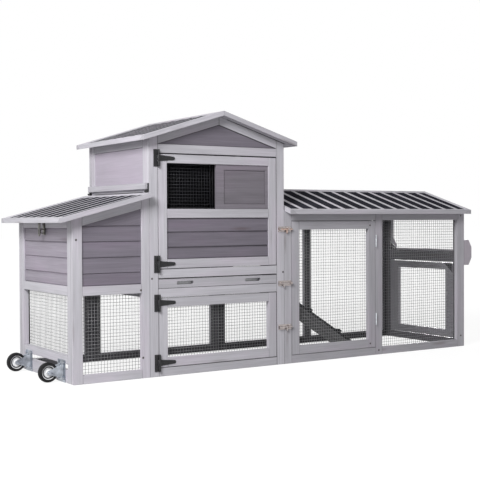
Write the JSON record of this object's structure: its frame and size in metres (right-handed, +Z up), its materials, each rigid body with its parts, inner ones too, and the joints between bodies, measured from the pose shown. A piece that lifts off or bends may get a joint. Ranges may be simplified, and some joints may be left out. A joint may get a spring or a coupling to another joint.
{
  "type": "chicken tractor",
  "caption": "Movable wooden hen coop with a nest bay on casters, a gabled tower house with a pull-out tray, and a netted run with a ramp.",
  "frame": {"origin": "on the ground under the middle of the bounding box", "axes": "+X along the length from the caster end to the handle end, +Y from the front with the doors to the back, +Z up"},
  "size_m": [2.1445, 0.628, 1.0375],
  "materials": {
    "light_paint": "satin paint over grain",
    "taupe_paint": "satin paint over grain",
    "dark_wood": "dark stain, matte",
    "roof_sheet": "dark felted board, matte",
    "net_wire": "grey coated wire",
    "zinc": "zinc plated",
    "black_steel": "black coated",
    "tyre": "matte rubber",
    "hub_plastic": "moulded"
  },
  "bodies": {
    "frame": {"left_front_frame": "light_paint", "left_back_frame": "light_paint", "left_end_frame": "light_paint", "left_siding": "taupe_paint", "left_nets": "net_wire", "nest_floor": "light_paint", "caster_board": "light_paint", "tower_front_frame": "light_paint", "tower_back_frame": "light_paint", "tower_side_frames": "light_paint", "tower_side_panels": "taupe_paint", "tower_back_siding": "taupe_paint", "tower_net": "net_wire", "gable_panels": "taupe_paint", "tray_runners": "light_paint", "tower_roof_sheets": "roof_sheet", "tower_roof_boards": "light_paint", "run_front_frame": "light_paint", "run_back_frame": "light_paint", "run_end_frame": "light_paint", "run_end_panel": "light_paint", "run_nets": "net_wire", "run_roof_sheets": "roof_sheet", "run_roof_boards": "light_paint", "handle": "light_paint", "caster_forks": "zinc", "hinge_plates": "black_steel", "run_hinge_leaves": "zinc", "bolt_plates": "zinc", "hasp_staple": "zinc", "ramp_rod": "black_steel"},
    "lid": {"lid_sheet": "roof_sheet", "lid_boards": "light_paint", "lid_leaves": "black_steel", "hasp_hinge": "zinc"},
    "hasp": {"hasp_leaf": "zinc"},
    "upper_door": {"upper_door_frame": "light_paint", "upper_door_siding": "taupe_paint", "upper_door_net": "net_wire", "upper_door_straps": "black_steel"},
    "shutter": {"shutter_frame": "taupe_paint", "shutter_panel": "taupe_paint"},
    "tray": {"tray_front": "light_paint", "tray_pan": "zinc"},
    "lower_door": {"lower_door_frame": "light_paint", "lower_door_net": "net_wire", "lower_door_straps": "black_steel"},
    "run_door": {"run_door_frame": "light_paint", "run_door_net": "net_wire", "run_door_leaves": "zinc"},
    "upper_bolt": {"bolt_upper": "zinc"},
    "run_bolt": {"bolt_run": "zinc"},
    "lower_bolt": {"bolt_lower": "zinc"},
    "front_wheel": {"wheel_front_hub": "hub_plastic", "wheel_front_tyre": "tyre"},
    "rear_wheel": {"wheel_rear_hub": "hub_plastic", "wheel_rear_tyre": "tyre"},
    "ramp": {"ramp_board": "dark_wood", "ramp_hooks": "black_steel"}
  },
  "joints": [
    {"name": "lid_hinge", "type": "hinge", "parent": "frame", "child": "lid", "pos_m": [-0.66575, 0, 0.71644], "axis": [0, 1, 0], "range_deg": [0, 80]},
    {"name": "hasp_hinge", "type": "hinge", "parent": "lid", "child": "hasp", "pos_m": [-0.99775, 0, 0.60083], "axis": [0, 1, 0], "range_deg": [-14, 60]},
    {"name": "upper_door_hinge", "type": "hinge", "parent": "frame", "child": "upper_door", "pos_m": [-0.62175, -0.2796, 0.64], "axis": [0, 0, -1], "range_deg": [0, 115]},
    {"name": "shutter_slide", "type": "slide", "parent": "upper_door", "child": "shutter", "axis": [-1, 0, 0], "range_m": [0, 0.226]},
    {"name": "tray_slide", "type": "slide", "parent": "frame", "child": "tray", "axis": [0, -1, 0], "range_m": [0, 0.38]},
    {"name": "lower_door_hinge", "type": "hinge", "parent": "frame", "child": "lower_door", "pos_m": [-0.62175, -0.2796, 0.169], "axis": [0, 0, -1], "range_deg": [0, 115]},
    {"name": "run_door_hinge", "type": "hinge", "parent": "frame", "child": "run_door", "pos_m": [0.47125, -0.2784, 0.316], "axis": [0, 0, 1], "range_deg": [0, 115]},
    {"name": "upper_bolt_slide", "type": "slide", "parent": "frame", "child": "upper_bolt", "axis": [-1, 0, 0], "range_m": [0, 0.022]},
    {"name": "run_bolt_slide", "type": "slide", "parent": "frame", "child": "run_bolt", "axis": [1, 0, 0], "range_m": [0, 0.022]},
    {"name": "lower_bolt_slide", "type": "slide", "parent": "frame", "child": "lower_bolt", "axis": [-1, 0, 0], "range_m": [0, 0.022]},
    {"name": "front_wheel_spin", "type": "hinge", "parent": "frame", "child": "front_wheel", "pos_m": [-1.03475, -0.167, 0.0395], "axis": [0, 1, 0], "continuous": true},
    {"name": "rear_wheel_spin", "type": "hinge", "parent": "frame", "child": "rear_wheel", "pos_m": [-1.03475, 0.167, 0.0395], "axis": [0, 1, 0], "continuous": true},
    {"name": "ramp_hinge", "type": "hinge", "parent": "frame", "child": "ramp", "pos_m": [-0.01575, 0, 0.3522], "axis": [0, -1, 0], "range_deg": [0, 35]}
  ]
}
